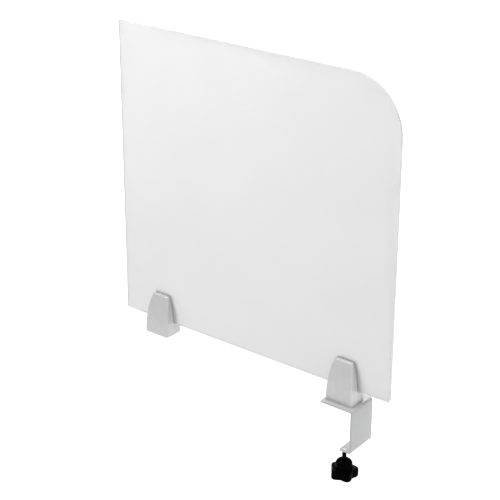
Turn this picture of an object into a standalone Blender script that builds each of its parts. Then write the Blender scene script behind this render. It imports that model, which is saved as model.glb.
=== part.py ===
"""Desk privacy panel: a frosted sheet held by two clips, one of them on a desk-edge clamp.

Frame: X runs along the sheet, +X towards the end with the clamp. Y = 0 is the middle of the
sheet's thickness, and the front is at -Y. Z = 0 is the desk's top surface, and X = 0 is the
middle of the clamp bracket's top plate. Metres.
"""
import math

import bmesh
import bpy

MERGE = 0.00001
GAP = 0.0003
PAST = 0.002                # how far a cutter runs past the face it opens
THROUGH = 0.03              # half length of a cutter that goes right through a clip

# Sheet
SHEET_WIDTH = 0.627
SHEET_HEIGHT = 0.598
SHEET_THICKNESS = 0.006
SHEET_BIG_RADIUS = 0.105
SHEET_SMALL_RADIUS = 0.005
SHEET_BIG_STEPS = 24
SHEET_SMALL_STEPS = 4
SHEET_LEFT = -0.5345
SHEET_BOTTOM = 0.030
SHEET_HALF = SHEET_THICKNESS / 2

# Clamp bracket, bent from one strip
STEEL = 0.0035
PAD_THICKNESS = 0.001
PLATE_TOP = PAD_THICKNESS + GAP + STEEL
BRACKET_LEFT = -0.035
BRACKET_RIGHT = 0.035
BRACKET_DEPTH = 0.068
BRACKET_BOTTOM = -0.0835
JAW_LEFT = 0.0095
BEND_RADIUS = 0.0055
BEND_STEPS = 5
PAD_INSET = 0.004
PAD_CORNER = 0.003

# Clips: sizes in each clip's own frame, Z = 0 on its base
CLIP_BASE = PLATE_TOP
CLAMP_CLIP_X = -0.0035
FOOT_CLIP_X = -0.4405
CLIP_HEIGHT = 0.0815
CLIP_TOP_CORNER = 0.004     # rounds the top corners, seen from the front
CLIP_TOP_EDGE = 0.001       # rounds the edge between the top and the front or back face
CLIP_SHOULDER = CLIP_HEIGHT - CLIP_TOP_CORNER
CLIP_FRONT_DEPTH = 0.024
CLIP_FRONT_LEAN = 0.0130
CLIP_BACK_DEPTH = 0.0190
CLIP_BACK_LEAN = 0.0095
CLIP_SEAM_HALF_WIDTH = 0.0295
CLIP_SEAM_TAPER = 0.0094
CLIP_FACE_HALF_WIDTH = 0.0287
CLIP_FACE_TAPER = 0.0078
CLIP_TAPER_POWER = 2.2
CLIP_CORNER = 0.0045
CLIP_LEVELS = 6
CORNER_STEPS = 4
SHEET_SEAT = SHEET_BOTTOM - CLIP_BASE

# Inside each clip
CORE_HALF_WIDTH = 0.022
CHEEK_HALF_WIDTH = 0.020
CORE_HALF_DEPTH = 0.0125
CORE_SHELF = 0.022
CHEEK_TOP = 0.062
CHEEK = 0.0035
LINER = 0.0018
PRESSURE_PLATE = 0.002
LINER_HALF_WIDTH = 0.0195
LINER_BOTTOM = 0.027
LINER_TOP = 0.061
REST_HALF_DEPTH = 0.0045
LINER_NEAR = SHEET_HALF + GAP
LINER_FAR = LINER_NEAR + LINER
FRONT_CHEEK = LINER_FAR + GAP
PLATE_NEAR = LINER_FAR + GAP
PLATE_FAR = PLATE_NEAR + PRESSURE_PLATE
BACK_CHEEK = PLATE_FAR + GAP

# Fasteners
SHELL_BOLT_X = 0.015
SHELL_BOLT_Z = 0.012
SHELL_BOLT_RADIUS = 0.002
SHELL_BOLT_HEAD_RADIUS = 0.0035
SHELL_BOLT_HEAD = 0.0035
SHELL_BOLT_SEAT = 0.0145
SHELL_BOLT_END = 0.0180
INSERT_RADIUS = 0.0034
INSERT_LENGTH = 0.0055
GRUB_X = 0.011
GRUB_Z = 0.044
GRUB_RADIUS = 0.003
GRUB_LENGTH = 0.006
BASE_BOLT_X = 0.008
BASE_BOLT_RADIUS = 0.003
BASE_BOLT_HEAD_RADIUS = 0.006
BASE_BOLT_HEAD = 0.0028
BASE_BOLT_LENGTH = 0.016
HEX_KEY_RADIUS = 0.0017
HEX_KEY_DEPTH = 0.0018
BOLT_RECESS = 0.0002
BRACKET_BOLT_FACE = PAD_THICKNESS + GAP + BOLT_RECESS
FOOT_BOLT_FACE = 0.0012

# Foot below the clip that only stands on the desk
FOOT_HALF_WIDTH = 0.019
FOOT_HALF_DEPTH = 0.015
FOOT_CORNER = 0.004

# Clamp screw and star knob, on one upright axis
SCREW_X = 0.017
SCREW_Y = -0.0273
SCREW_RADIUS = 0.004
THREAD_GAP = 0.0003
BUSH_RADIUS = 0.0054
BUSH_LENGTH = 0.0055
JAW_TOP = BRACKET_BOTTOM + STEEL
TIP_RADIUS = 0.0034
TIP_HEIGHT = 0.0016
TIP_STEM_RADIUS = 0.0015
TIP_STEM = 0.004
TIP_CHAMFER = 0.0004
SCREW_HEAD_FLATS = 0.013
SCREW_HEAD = 0.0055
SCREW_HEAD_TOP = -0.126
SCREW_JOIN = 0.001          # how far the shank runs into its head
KNOB_TOP = -0.0997
STAR_TOP = -0.1200
STAR_BOTTOM = -0.1368
HUB_RADIUS = 0.0157
HUB_DOME = 0.011
HUB_DOME_ANGLES = (0, 25, 45, 62, 75)
HUB_TOP_RADIUS = 0.0031     # inside the bore, which opens it
STAR_RADIUS = 0.0262
STAR_VALLEY = 0.0180
STAR_LOBES = 5
STAR_ANGLE = math.radians(26.0)
STAR_EDGE = 0.0022
STAR_EDGE_STEPS = 2
STAR_STEPS = 50
CAP_RADIUS = 0.0095
CAP_THICKNESS = 0.003
CAP_CHAMFER = 0.0006

# Facets of round pieces
TURN_STEPS = 20
SMALL_TURN_STEPS = 16
SHARP_ANGLE = math.radians(35.0)


def clear_scene():
    for obj in list(bpy.data.objects):
        bpy.data.objects.remove(obj)


def make_collection(name):
    collection = bpy.data.collections.new(name)
    bpy.context.scene.collection.children.link(collection)
    return collection


def make_material(name, colour, roughness, metallic=0.0, alpha=1.0):
    material = bpy.data.materials.new(name)
    material.use_nodes = True
    shader = material.node_tree.nodes["Principled BSDF"]
    shader.inputs["Base Color"].default_value = (*colour, 1.0)
    shader.inputs["Roughness"].default_value = roughness
    shader.inputs["Metallic"].default_value = metallic
    shader.inputs["Alpha"].default_value = alpha
    return material


clear_scene()
PARTS = make_collection("desk_privacy_panel")
CUTTERS = make_collection("cutters")

FROSTED = make_material("frosted_acrylic", (0.90, 0.90, 0.91), 0.45, alpha=0.75)
GREY_SHELL = make_material("light_grey_shell", (0.62, 0.62, 0.63), 0.42)
GREY_STEEL = make_material("grey_painted_steel", (0.60, 0.60, 0.61), 0.38, 0.2)
CAST = make_material("cast_aluminium", (0.52, 0.52, 0.54), 0.5, 1.0)
RUBBER = make_material("clear_grey_rubber", (0.35, 0.35, 0.36), 0.8)
ZINC = make_material("zinc_plated_steel", (0.62, 0.63, 0.66), 0.3, 1.0)
BRASS = make_material("brass", (0.72, 0.55, 0.25), 0.3, 1.0)
BLACK_STEEL = make_material("black_oxide_steel", (0.012, 0.012, 0.013), 0.4, 0.8)
BLACK_PLASTIC = make_material("black_moulded_plastic", (0.010, 0.010, 0.011), 0.5)
NYLON = make_material("natural_nylon", (0.60, 0.60, 0.58), 0.55)


def make_frame(name, location):
    """An empty that the pieces of one clip, or of the clamp screw, hang on."""
    frame = bpy.data.objects.new(name, None)
    frame.location = location
    PARTS.objects.link(frame)
    return frame


def place(obj, material, parent=None, location=(0, 0, 0), rotation=(0, 0, 0)):
    """Put a sub-part in the object's collection."""
    PARTS.objects.link(obj)
    obj.data.materials.append(material)
    obj.parent = parent
    obj.location = location
    obj.rotation_euler = rotation
    return obj


def hide(obj, parent=None, location=(0, 0, 0), rotation=(0, 0, 0)):
    """Put a cutter in the cutters' collection."""
    CUTTERS.objects.link(obj)
    obj.parent = parent
    obj.location = location
    obj.rotation_euler = rotation
    obj.hide_render = True
    obj.display_type = "WIRE"
    return obj


def combine(target, other, operation="DIFFERENCE"):
    boolean = target.modifiers.new(other.name, "BOOLEAN")
    boolean.operation = operation
    boolean.object = other


def mesh_object(name, bm):
    """An object from a bmesh, shaded smooth except across its sharp edges."""
    mesh = bpy.data.meshes.new(name)
    bmesh.ops.recalc_face_normals(bm, faces=bm.faces)
    bm.to_mesh(mesh)
    bm.free()
    mesh.shade_smooth()
    mesh.set_sharp_from_angle(angle=SHARP_ANGLE)
    return bpy.data.objects.new(name, mesh)


def box(name, low, high):
    """A block between two opposite corners."""
    bm = bmesh.new()
    bmesh.ops.create_cube(bm, size=1.0)
    for vertex in bm.verts:
        for axis in range(3):
            middle = (low[axis] + high[axis]) / 2
            vertex.co[axis] = middle + vertex.co[axis] * (high[axis] - low[axis])
    return mesh_object(name, bm)


def prism(name, radius, top, bottom, sides):
    """An upright round or hexagonal bar about Z."""
    bm = bmesh.new()
    bmesh.ops.create_cone(bm, cap_ends=True, segments=sides, radius1=radius, radius2=radius,
                          depth=top - bottom)
    bmesh.ops.translate(bm, verts=bm.verts, vec=(0, 0, (top + bottom) / 2))
    return mesh_object(name, bm)


def turned(name, profile, steps=TURN_STEPS):
    """A shape turned about Z. The profile runs down the outer side from top to bottom."""
    mesh = bpy.data.meshes.new(name)
    points = [(radius, 0.0, height) for radius, height in profile]
    mesh.from_pydata(points, [(i, i + 1) for i in range(len(points) - 1)], [])
    obj = bpy.data.objects.new(name, mesh)
    screw = obj.modifiers.new("Turn", "SCREW")
    screw.steps = steps
    screw.render_steps = steps
    screw.use_merge_vertices = True
    screw.merge_threshold = MERGE
    return obj


def loft(name, rings):
    """A closed body through rings of equal point counts, capped at both ends."""
    bm = bmesh.new()
    rows = [[bm.verts.new(point) for point in ring] for ring in rings]
    count = len(rows[0])
    for lower, upper in zip(rows, rows[1:]):
        for i in range(count):
            j = (i + 1) % count
            bm.faces.new((lower[i], lower[j], upper[j], upper[i]))
    bm.faces.new(rows[0])
    bm.faces.new(rows[-1])
    return mesh_object(name, bm)


def arc(centre, radius, start, end, steps):
    """Points on an arc in a plane, from one angle in degrees to another."""
    points = []
    for i in range(steps + 1):
        angle = math.radians(start + (end - start) * i / steps)
        points.append((centre[0] + radius * math.cos(angle), centre[1] + radius * math.sin(angle)))
    return points


def plate(name, outline, thickness):
    """A flat outline in XY, extruded to both sides of Z = 0."""
    curve = bpy.data.curves.new(name, "CURVE")
    curve.dimensions = "2D"
    curve.fill_mode = "BOTH"
    curve.extrude = thickness / 2
    spline = curve.splines.new("POLY")
    spline.points.add(len(outline) - 1)
    for point, (x, y) in zip(spline.points, outline):
        point.co = (x, y, 0, 1)
    spline.use_cyclic_u = True
    return bpy.data.objects.new(name, curve)


def plate_mesh(name, outline, thickness):
    """The same plate as a welded mesh, for a piece that is cut."""
    source = plate(name + "_outline", outline, thickness)
    PARTS.objects.link(source)
    evaluated = source.evaluated_get(bpy.context.evaluated_depsgraph_get())
    mesh = bpy.data.meshes.new_from_object(evaluated)
    bm = bmesh.new()
    bm.from_mesh(mesh)
    bmesh.ops.remove_doubles(bm, verts=bm.verts, dist=MERGE)
    bm.to_mesh(mesh)
    bm.free()
    bpy.data.objects.remove(source)
    return bpy.data.objects.new(name, mesh)


def rounded_rectangle(half_x, half_y, radius):
    inner_x = half_x - radius
    inner_y = half_y - radius
    corners = ((inner_x, inner_y), (-inner_x, inner_y), (-inner_x, -inner_y), (inner_x, -inner_y))
    outline = []
    for i, corner in enumerate(corners):
        outline += arc(corner, radius, 90 * i, 90 * i + 90, CORNER_STEPS)
    return outline


# Sheet

def make_sheet():
    """The sheet, drawn in XY and stood up: large radius at its upper clamp end."""
    left = SHEET_LEFT
    right = left + SHEET_WIDTH
    bottom = SHEET_BOTTOM
    top = bottom + SHEET_HEIGHT
    small = SHEET_SMALL_RADIUS
    big = SHEET_BIG_RADIUS
    outline = [(left, bottom)]
    outline += arc((right - small, bottom + small), small, -90, 0, SHEET_SMALL_STEPS)
    outline += arc((right - big, top - big), big, 0, 90, SHEET_BIG_STEPS)
    outline.append((left, top))
    sheet = plate("panel_sheet", outline, SHEET_THICKNESS)
    place(sheet, FROSTED, rotation=(math.pi / 2, 0, 0))


# Clips

def rounding(radius, below_top):
    """How far a rounded edge has drawn in, at a distance below the top."""
    rise = max(0.0, radius - below_top)
    return radius - math.sqrt(radius ** 2 - rise ** 2)


def clip_section(side, z):
    """One shell's outline at one height. The shells part in the plane of the sheet's front."""
    taper = min(1.0, z / CLIP_SHOULDER) ** CLIP_TAPER_POWER
    side_inset = rounding(CLIP_TOP_CORNER, CLIP_HEIGHT - z)
    face_inset = rounding(CLIP_TOP_EDGE, CLIP_HEIGHT - z)
    seam = CLIP_SEAM_HALF_WIDTH - CLIP_SEAM_TAPER * taper - side_inset
    face = CLIP_FACE_HALF_WIDTH - CLIP_FACE_TAPER * taper - side_inset
    if side < 0:
        depth = CLIP_FRONT_DEPTH - CLIP_FRONT_LEAN * taper - face_inset
        parting = SHEET_HALF + GAP
    else:
        depth = CLIP_BACK_DEPTH - CLIP_BACK_LEAN * taper - face_inset
        parting = -SHEET_HALF
    corner = (face - CLIP_CORNER, depth - CLIP_CORNER)
    right_side = [(seam, parting)] + arc(corner, CLIP_CORNER, 0, 90, CORNER_STEPS)
    left_side = [(-x, y) for x, y in reversed(right_side)]
    return [(x, side * y) for x, y in right_side + left_side]


def clip_shell_blank(name, side):
    """The solid outer form of one shell, with its rounded top corners."""
    heights = [GAP] + [CLIP_SHOULDER * i / CLIP_LEVELS for i in range(1, CLIP_LEVELS + 1)]
    for i in range(1, CORNER_STEPS + 1):
        angle = math.pi / 2 * i / CORNER_STEPS
        heights.append(CLIP_SHOULDER + CLIP_TOP_CORNER * math.sin(angle))
    return loft(name, [[(x, y, z) for x, y in clip_section(side, z)] for z in heights])


def sorted_box(name, side, low, high):
    """A block whose Y range is given outward from the sheet, on either side of it."""
    y_low = min(side * low[1], side * high[1])
    y_high = max(side * low[1], side * high[1])
    return box(name, (low[0], y_low, low[2]), (high[0], y_high, high[2]))


def make_shell(prefix, frame, side, cheek_far):
    """One shell: outer form, less the pockets for the core and, at the back, the sheet's slot."""
    name = prefix + ("front_shell" if side < 0 else "back_shell")
    shell = place(clip_shell_blank(name, side), GREY_SHELL, frame)
    wide = CLIP_SEAM_HALF_WIDTH * 2
    open_side = -SHEET_THICKNESS
    low_pocket_x = CORE_HALF_WIDTH + GAP
    high_pocket_x = CHEEK_HALF_WIDTH + GAP
    cuts = [
        ((-low_pocket_x, open_side, -PAST), (low_pocket_x, CORE_HALF_DEPTH + GAP, SHEET_SEAT)),
        ((-high_pocket_x, open_side, CORE_SHELF), (high_pocket_x, cheek_far + GAP, CHEEK_TOP + GAP)),
    ]
    if side > 0:
        cuts.append(((-wide, open_side, SHEET_SEAT - GAP), (wide, SHEET_HALF + GAP, CLIP_HEIGHT * 2)))
    for i, (low, high) in enumerate(cuts):
        combine(shell, hide(sorted_box(f"{name}_cut_{i}", side, low, high), frame))
    return shell


def make_core(prefix, frame, base_bolt_top):
    """The cast saddle that carries the sheet: a base block with a cheek on each side."""
    front = -(FRONT_CHEEK + CHEEK)
    back = BACK_CHEEK + CHEEK
    core = place(box(prefix + "core", (-CORE_HALF_WIDTH, -CORE_HALF_DEPTH, GAP),
                     (CORE_HALF_WIDTH, CORE_HALF_DEPTH, CORE_SHELF)), CAST, frame)
    cheeks = ((front, -FRONT_CHEEK), (BACK_CHEEK, back))
    for i, (near, far) in enumerate(cheeks):
        cheek = box(f"{prefix}cheek_{i}", (-CHEEK_HALF_WIDTH, near, CORE_SHELF / 2),
                    (CHEEK_HALF_WIDTH, far, CHEEK_TOP))
        combine(core, hide(cheek, frame), "UNION")
    for sign in (-1, 1):
        across = prism(f"{prefix}bolt_hole", SHELL_BOLT_RADIUS + GAP, THROUGH, -THROUGH, TURN_STEPS)
        hide(across, frame, (sign * SHELL_BOLT_X, 0, SHELL_BOLT_Z), (math.pi / 2, 0, 0))
        combine(core, across)
        upright = prism(f"{prefix}base_hole", BASE_BOLT_RADIUS + GAP, base_bolt_top + GAP, -PAST,
                        TURN_STEPS)
        combine(core, hide(upright, frame, (sign * BASE_BOLT_X, 0, 0)))
        grub_hole = prism(f"{prefix}grub_hole", GRUB_RADIUS + GAP, GRUB_LENGTH, -GRUB_LENGTH,
                          TURN_STEPS)
        hide(grub_hole, frame, (sign * GRUB_X, (BACK_CHEEK + back) / 2, GRUB_Z), (math.pi / 2, 0, 0))
        combine(core, grub_hole)


def make_grip(prefix, frame):
    """Rubber liners, the pressure plate behind one of them, and the rest below the sheet."""
    low = (-LINER_HALF_WIDTH, LINER_NEAR, LINER_BOTTOM)
    high = (LINER_HALF_WIDTH, LINER_FAR, LINER_TOP)
    place(sorted_box(prefix + "front_liner", -1, low, high), RUBBER, frame)
    place(sorted_box(prefix + "back_liner", 1, low, high), RUBBER, frame)
    place(box(prefix + "pressure_plate", (-LINER_HALF_WIDTH, PLATE_NEAR, LINER_BOTTOM),
              (LINER_HALF_WIDTH, PLATE_FAR, LINER_TOP)), ZINC, frame)
    place(box(prefix + "edge_rest", (-LINER_HALF_WIDTH, -REST_HALF_DEPTH, CORE_SHELF + GAP),
              (LINER_HALF_WIDTH, REST_HALF_DEPTH, SHEET_SEAT - GAP)), RUBBER, frame)


def socket_profile(radius, top):
    """The upper end of a screw with a round-bottomed key socket, from its axis outward."""
    return [(0, top - HEX_KEY_DEPTH), (HEX_KEY_RADIUS, top - HEX_KEY_DEPTH),
            (HEX_KEY_RADIUS, top), (radius, top)]


def make_grub_screws(prefix, frame, back_shell):
    """Two set screws in the back cheek, and the key holes over them in the back shell."""
    for side_name, sign in (("left", -1), ("right", 1)):
        profile = socket_profile(GRUB_RADIUS, GRUB_LENGTH) + [(GRUB_RADIUS, 0), (0, 0)]
        grub = turned(f"{prefix}grub_screw_{side_name}", profile, SMALL_TURN_STEPS)
        place(grub, BLACK_STEEL, frame, (sign * GRUB_X, BACK_CHEEK, GRUB_Z), (-math.pi / 2, 0, 0))
        access = prism(f"{prefix}key_hole_{side_name}", GRUB_RADIUS + GAP, THROUGH, BACK_CHEEK,
                       SMALL_TURN_STEPS)
        hide(access, frame, (sign * GRUB_X, 0, GRUB_Z), (-math.pi / 2, 0, 0))
        combine(back_shell, access)


def make_shell_bolts(prefix, frame, front_shell, back_shell):
    """Two bolts from the back shell, through the core, into inserts in the front shell."""
    pocket_face = CORE_HALF_DEPTH + GAP
    for side_name, sign in (("left", -1), ("right", 1)):
        x = sign * SHELL_BOLT_X
        profile = socket_profile(SHELL_BOLT_HEAD_RADIUS, SHELL_BOLT_SEAT + GAP + SHELL_BOLT_HEAD)
        profile += [(SHELL_BOLT_HEAD_RADIUS, SHELL_BOLT_SEAT + GAP),
                    (SHELL_BOLT_RADIUS, SHELL_BOLT_SEAT + GAP),
                    (SHELL_BOLT_RADIUS, -SHELL_BOLT_END), (0, -SHELL_BOLT_END)]
        bolt = turned(f"{prefix}shell_bolt_{side_name}", profile, SMALL_TURN_STEPS)
        place(bolt, ZINC, frame, (x, 0, SHELL_BOLT_Z), (-math.pi / 2, 0, 0))
        inner = SHELL_BOLT_RADIUS + GAP
        near = -(pocket_face + GAP)
        ring = [(inner, near), (INSERT_RADIUS, near), (INSERT_RADIUS, near - INSERT_LENGTH),
                (inner, near - INSERT_LENGTH), (inner, near)]
        insert = turned(f"{prefix}shell_insert_{side_name}", ring, SMALL_TURN_STEPS)
        place(insert, BRASS, frame, (x, 0, SHELL_BOLT_Z), (-math.pi / 2, 0, 0))
        holes = (
            (back_shell, SHELL_BOLT_RADIUS + GAP, pocket_face - PAST, THROUGH),
            (back_shell, SHELL_BOLT_HEAD_RADIUS + GAP, SHELL_BOLT_SEAT, THROUGH),
            (front_shell, INSERT_RADIUS + GAP, near - INSERT_LENGTH - GAP, -pocket_face + PAST),
        )
        for i, (shell, radius, bottom, top) in enumerate(holes):
            hole = prism(f"{prefix}shell_hole_{side_name}_{i}", radius, top, bottom,
                         SMALL_TURN_STEPS)
            hide(hole, frame, (x, 0, SHELL_BOLT_Z), (-math.pi / 2, 0, 0))
            combine(shell, hole)


def base_bolt_profile():
    """A countersunk bolt standing on its head, its flat face at Z = 0 with a key socket."""
    return [(0, BASE_BOLT_LENGTH), (BASE_BOLT_RADIUS, BASE_BOLT_LENGTH),
            (BASE_BOLT_RADIUS, BASE_BOLT_HEAD), (BASE_BOLT_HEAD_RADIUS, 0), (HEX_KEY_RADIUS, 0),
            (HEX_KEY_RADIUS, HEX_KEY_DEPTH), (0, HEX_KEY_DEPTH)]


def countersink(name, head_face, far_end):
    """The cutter for a countersunk bolt: cone below, clearance bar above."""
    wide = BASE_BOLT_HEAD_RADIUS + GAP
    narrow = BASE_BOLT_RADIUS + GAP
    profile = [(0, far_end), (narrow, far_end), (narrow, head_face + BASE_BOLT_HEAD),
               (wide, head_face), (wide, -PAST), (0, -PAST)]
    return turned(name, profile)


def make_base_bolts(names, centre_x, head_face, target):
    """Two countersunk bolts that go up through the target into a clip's core."""
    for name, sign in zip(names, (-1, 1)):
        x = centre_x + sign * BASE_BOLT_X
        place(turned(name, base_bolt_profile()), ZINC, location=(x, 0, head_face))
        combine(target, hide(countersink(name + "_hole", head_face, CLIP_BASE + GAP),
                             location=(x, 0, 0)))


def make_clip(prefix, centre_x, head_face):
    frame = make_frame(prefix + "frame", (centre_x, 0, CLIP_BASE))
    front_shell = make_shell(prefix, frame, -1, FRONT_CHEEK + CHEEK)
    back_shell = make_shell(prefix, frame, 1, BACK_CHEEK + CHEEK)
    make_core(prefix, frame, head_face + BASE_BOLT_LENGTH - CLIP_BASE)
    make_grip(prefix, frame)
    make_grub_screws(prefix, frame, back_shell)
    make_shell_bolts(prefix, frame, front_shell, back_shell)


# Clamp

def make_bracket():
    """The C-shaped bracket: top plate, web and short jaw, bent from one strip."""
    radius = BEND_RADIUS
    web_centre = BRACKET_RIGHT - radius
    path = [(BRACKET_LEFT, PLATE_TOP)]
    path += arc((web_centre, PLATE_TOP - radius), radius, 90, 0, BEND_STEPS)
    path += arc((web_centre, BRACKET_BOTTOM + radius), radius, 0, -90, BEND_STEPS)
    path.append((JAW_LEFT, BRACKET_BOTTOM))
    bm = bmesh.new()
    half = BRACKET_DEPTH / 2
    rows = [[bm.verts.new((x, y, z)) for x, z in path] for y in (-half, half)]
    for i in range(len(path) - 1):
        bm.faces.new((rows[0][i], rows[0][i + 1], rows[1][i + 1], rows[1][i]))
    bracket = place(mesh_object("clamp_bracket", bm), GREY_STEEL)
    solidify = bracket.modifiers.new("Sheet steel", "SOLIDIFY")
    solidify.thickness = STEEL
    solidify.offset = -1.0
    solidify.use_even_offset = True
    bush_hole = prism("jaw_hole", BUSH_RADIUS + GAP, JAW_TOP + PAST, BRACKET_BOTTOM - PAST, TURN_STEPS)
    combine(bracket, hide(bush_hole, location=(SCREW_X, SCREW_Y, 0)))
    return bracket


def make_desk_pad():
    """The thin rubber sheet under the top plate."""
    half_x = (BRACKET_RIGHT - STEEL - BEND_RADIUS - BRACKET_LEFT) / 2 - PAD_INSET
    middle_x = BRACKET_LEFT + PAD_INSET + half_x
    outline = rounded_rectangle(half_x, BRACKET_DEPTH / 2 - PAD_INSET, PAD_CORNER)
    place(plate("desk_pad", outline, PAD_THICKNESS), RUBBER, location=(middle_x, 0, PAD_THICKNESS / 2))


def make_foot():
    """The rubber foot under the other clip."""
    height = CLIP_BASE
    outline = rounded_rectangle(FOOT_HALF_WIDTH, FOOT_HALF_DEPTH, FOOT_CORNER)
    foot = plate_mesh("foot_pad", outline, height)
    return place(foot, RUBBER, location=(FOOT_CLIP_X, 0, height / 2))


def make_clamp_screw(frame):
    """The threaded bush, the screw with its hexagon head, and the tip that turns freely on it."""
    bush_bottom = JAW_TOP - BUSH_LENGTH
    bore = SCREW_RADIUS + THREAD_GAP
    bush = [(bore, JAW_TOP), (BUSH_RADIUS, JAW_TOP), (BUSH_RADIUS, bush_bottom), (bore, bush_bottom),
            (bore, JAW_TOP)]
    place(turned("jaw_bush", bush), GREY_STEEL, location=(SCREW_X, SCREW_Y, 0))

    head_bottom = JAW_TOP - TIP_HEIGHT
    stem_bottom = head_bottom - TIP_STEM
    tip = [(0, JAW_TOP), (TIP_RADIUS - TIP_CHAMFER, JAW_TOP), (TIP_RADIUS, JAW_TOP - TIP_CHAMFER),
           (TIP_RADIUS, head_bottom), (TIP_STEM_RADIUS, head_bottom), (TIP_STEM_RADIUS, stem_bottom),
           (0, stem_bottom)]
    place(turned("screw_tip", tip), NYLON, frame)

    screw_top = head_bottom - GAP
    hole = TIP_STEM_RADIUS + GAP
    hole_bottom = stem_bottom - GAP
    shank_bottom = SCREW_HEAD_TOP - SCREW_JOIN
    shank = [(0, hole_bottom), (hole, hole_bottom), (hole, screw_top),
             (SCREW_RADIUS - TIP_CHAMFER, screw_top), (SCREW_RADIUS, screw_top - TIP_CHAMFER),
             (SCREW_RADIUS, shank_bottom), (0, shank_bottom)]
    screw = place(turned("clamp_screw", shank), BLACK_STEEL, frame)
    head = prism("screw_head", SCREW_HEAD_FLATS / math.sqrt(3), SCREW_HEAD_TOP,
                 SCREW_HEAD_TOP - SCREW_HEAD, 6)
    combine(screw, hide(head, frame), "UNION")


def star_ring(z, inset):
    """The knob's lobed outline at one height."""
    middle = (STAR_RADIUS + STAR_VALLEY) / 2
    swing = (STAR_RADIUS - STAR_VALLEY) / 2
    ring = []
    for i in range(STAR_STEPS):
        angle = 2 * math.pi * i / STAR_STEPS
        radius = middle + swing * math.cos(STAR_LOBES * (angle - STAR_ANGLE)) - inset
        ring.append((radius * math.cos(angle), radius * math.sin(angle), z))
    return ring


def round_ring(z, radius):
    angles = [2 * math.pi * i / STAR_STEPS for i in range(STAR_STEPS)]
    return [(radius * math.cos(angle), radius * math.sin(angle), z) for angle in angles]


def make_knob(frame):
    """The star knob: lobed grip, domed hub, hexagon pocket for the screw's head, and its cap."""
    edge_cuts = []
    for i in range(STAR_EDGE_STEPS + 1):
        angle = math.pi / 2 * i / STAR_EDGE_STEPS
        edge_cuts.append((STAR_EDGE * (1 - math.sin(angle)), STAR_EDGE * (1 - math.cos(angle))))
    rings = [star_ring(STAR_BOTTOM + up, inset) for inset, up in edge_cuts]
    rings += [star_ring(STAR_TOP - up, inset) for inset, up in reversed(edge_cuts)]
    rings.append(round_ring(STAR_TOP, HUB_RADIUS))
    dome_base = KNOB_TOP - HUB_DOME
    for degrees in HUB_DOME_ANGLES:
        angle = math.radians(degrees)
        rings.append(round_ring(dome_base + HUB_DOME * math.sin(angle), HUB_RADIUS * math.cos(angle)))
    rings.append(round_ring(KNOB_TOP, HUB_TOP_RADIUS))
    knob = place(loft("knob_body", rings), BLACK_PLASTIC, frame)

    bore = prism("knob_bore", SCREW_RADIUS + GAP, KNOB_TOP + PAST, SCREW_HEAD_TOP - PAST, TURN_STEPS)
    pocket = prism("knob_pocket", SCREW_HEAD_FLATS / math.sqrt(3) + GAP, SCREW_HEAD_TOP + GAP,
                   STAR_BOTTOM - PAST, 6)
    cap_seat = prism("knob_cap_seat", CAP_RADIUS + GAP, STAR_BOTTOM + CAP_THICKNESS + GAP,
                     STAR_BOTTOM - PAST, 2 * TURN_STEPS)
    for cutter in (bore, pocket, cap_seat):
        combine(knob, hide(cutter, frame))

    cap_top = STAR_BOTTOM + CAP_THICKNESS
    cap = [(0, cap_top), (CAP_RADIUS, cap_top), (CAP_RADIUS, STAR_BOTTOM + CAP_CHAMFER),
           (CAP_RADIUS - CAP_CHAMFER, STAR_BOTTOM), (0, STAR_BOTTOM)]
    place(turned("knob_cap", cap), BLACK_PLASTIC, frame)


make_sheet()
make_clip("clamp_clip_", CLAMP_CLIP_X, BRACKET_BOLT_FACE)
make_clip("foot_clip_", FOOT_CLIP_X, FOOT_BOLT_FACE)
bracket = make_bracket()
make_base_bolts(("bracket_bolt_left", "bracket_bolt_right"), CLAMP_CLIP_X, BRACKET_BOLT_FACE, bracket)
make_desk_pad()
make_base_bolts(("foot_bolt_left", "foot_bolt_right"), FOOT_CLIP_X, FOOT_BOLT_FACE, make_foot())
clamp_axis = make_frame("clamp_screw_axis", (SCREW_X, SCREW_Y, 0))
make_clamp_screw(clamp_axis)
make_knob(clamp_axis)
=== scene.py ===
"""Looks of the desk privacy panel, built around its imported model.

The sheet, the clips' shells, the clamp and all screws are rebuilt here as fine meshes, in the places
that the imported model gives. The pieces inside the clips keep their CAD shapes. Metres: X runs along
the sheet, -Y is its front, and Z = 0 is the desk's top surface.
"""
import math

import bmesh
import bpy
from mathutils import Matrix, Vector


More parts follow.
